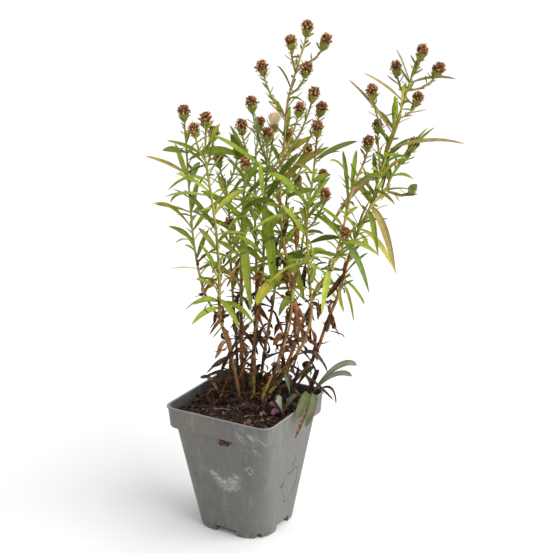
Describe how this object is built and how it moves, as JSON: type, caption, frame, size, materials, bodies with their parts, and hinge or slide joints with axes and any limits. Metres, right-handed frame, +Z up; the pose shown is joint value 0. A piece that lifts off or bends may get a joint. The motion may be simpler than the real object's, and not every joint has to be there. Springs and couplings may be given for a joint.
{
  "type": "potted aster plant",
  "caption": "Square tapered plastic pot of soil with an upright clump of thin branching stems, narrow leaves and small spent brown flower heads, leaning out to one side.",
  "frame": {"origin": "under the middle of the whole plant and pot's bounding box, at the level that the pot's feet stand on", "axes": "+Z up; X and Y along the pot's sides, with the plant leaning out towards +X and +Y"},
  "size_m": [0.1904, 0.1448, 0.3749],
  "materials": {
    "pot_plastic": "satin",
    "soil": "matte",
    "stem_green": "matte",
    "stem_dark": "matte",
    "stem_tan": "matte",
    "young_leaf": "matte",
    "withered_leaf": "matte",
    "dry_floret": "matte",
    "seed_fluff": "matte"
  },
  "bodies": {
    "root": {"pot": "pot_plastic", "soil": "soil", "stem_left": "stem_green", "stem_dark_left": "stem_dark", "stem_thick_left": "stem_dark", "stem_inner": "stem_green", "stem_tall": "stem_tan", "stem_right": "stem_green", "stem_middle": "stem_green", "stem_front": "stem_tan", "stem_back": "stem_green", "stem_back_middle": "stem_tan", "stem_back_right": "stem_green", "shoot_front": "young_leaf", "shoot_right": "young_leaf", "shoot_back": "young_leaf", "shoot_left": "withered_leaf", "head_01": "dry_floret", "head_02": "dry_floret", "head_03": "dry_floret", "head_04": "dry_floret", "head_05": "dry_floret", "head_06": "dry_floret", "head_07": "dry_floret", "head_08": "dry_floret", "head_09": "dry_floret", "head_10": "dry_floret", "head_11": "dry_floret", "head_12": "seed_fluff", "head_13": "dry_floret", "head_14": "dry_floret", "head_15": "dry_floret", "head_16": "dry_floret", "head_17": "dry_floret", "head_18": "dry_floret", "head_19": "dry_floret", "head_20": "dry_floret", "head_21": "dry_floret", "head_22": "dry_floret", "head_23": "dry_floret", "head_24": "dry_floret", "head_25": "dry_floret", "head_26": "dry_floret", "head_27": "dry_floret", "head_28": "dry_floret", "head_29": "dry_floret", "head_30": "dry_floret", "head_31": "dry_floret", "head_32": "dry_floret", "head_33": "dry_floret", "head_34": "dry_floret", "head_35": "dry_floret", "head_36": "dry_floret"}
  },
  "joints": []
}
